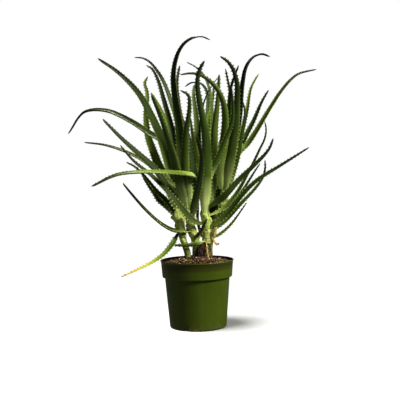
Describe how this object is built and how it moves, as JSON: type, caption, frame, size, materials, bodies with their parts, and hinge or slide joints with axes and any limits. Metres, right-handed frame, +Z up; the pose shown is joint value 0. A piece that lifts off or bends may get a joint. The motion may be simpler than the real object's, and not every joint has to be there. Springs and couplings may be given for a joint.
{
  "type": "potted aloe plant",
  "caption": "Tree aloe with long arching toothed leaves on slim canes, planted in bark chips in a round tapered nursery pot with a deep rim band.",
  "frame": {"origin": "middle of the pot's flat underside, where it stands", "axes": "+Z up along the pot's axis, -Y the front, +X to the right seen from the front"},
  "size_m": [0.539, 0.354, 0.606],
  "materials": {
    "leaf": "satin, waxy fresh leaf",
    "cane": "matt green stem with leaf scars",
    "woody_cane": "rough brown bark",
    "husk": "dry, papery",
    "bark_chips": "rough loose bark chips with grit",
    "plastic": "satin moulded green plastic"
  },
  "bodies": {
    "root": {"leaf_l1": "leaf", "leaf_l2": "leaf", "leaf_l3": "leaf", "leaf_m1": "leaf", "leaf_m2": "leaf", "leaf_m3": "leaf", "leaf_m4": "leaf", "leaf_m5": "leaf", "leaf_m6": "leaf", "leaf_m7": "leaf", "leaf_m8": "leaf", "leaf_m9": "leaf", "leaf_m10": "leaf", "leaf_m11": "leaf", "leaf_m12": "leaf", "leaf_m13": "leaf", "leaf_m14": "leaf", "leaf_m15": "leaf", "leaf_m16": "leaf", "leaf_c1": "leaf", "leaf_c2": "leaf", "leaf_c3": "leaf", "leaf_c4": "leaf", "leaf_c5": "leaf", "leaf_c6": "leaf", "leaf_c7": "leaf", "leaf_c8": "leaf", "leaf_c9": "leaf", "leaf_c10": "leaf", "leaf_c11": "leaf", "leaf_c12": "leaf", "leaf_c13": "leaf", "leaf_c14": "leaf", "leaf_c15": "leaf", "leaf_c16": "leaf", "leaf_c17": "leaf", "leaf_c18": "leaf", "leaf_r1": "leaf", "leaf_r2": "leaf", "leaf_r3": "leaf", "leaf_r4": "leaf", "leaf_r5": "leaf", "leaf_r6": "leaf", "leaf_r7": "leaf", "leaf_r8": "leaf", "leaf_r9": "leaf", "leaf_b1": "leaf", "leaf_b2": "leaf", "leaf_b3": "leaf", "leaf_b4": "leaf", "leaf_b5": "leaf", "dried_sheath": "husk", "dried_stub": "husk", "cane_center_base": "woody_cane", "cane_center": "cane", "cane_middle": "cane", "cane_left": "cane", "cane_right": "cane", "pot": "plastic", "soil": "bark_chips"}
  },
  "joints": []
}
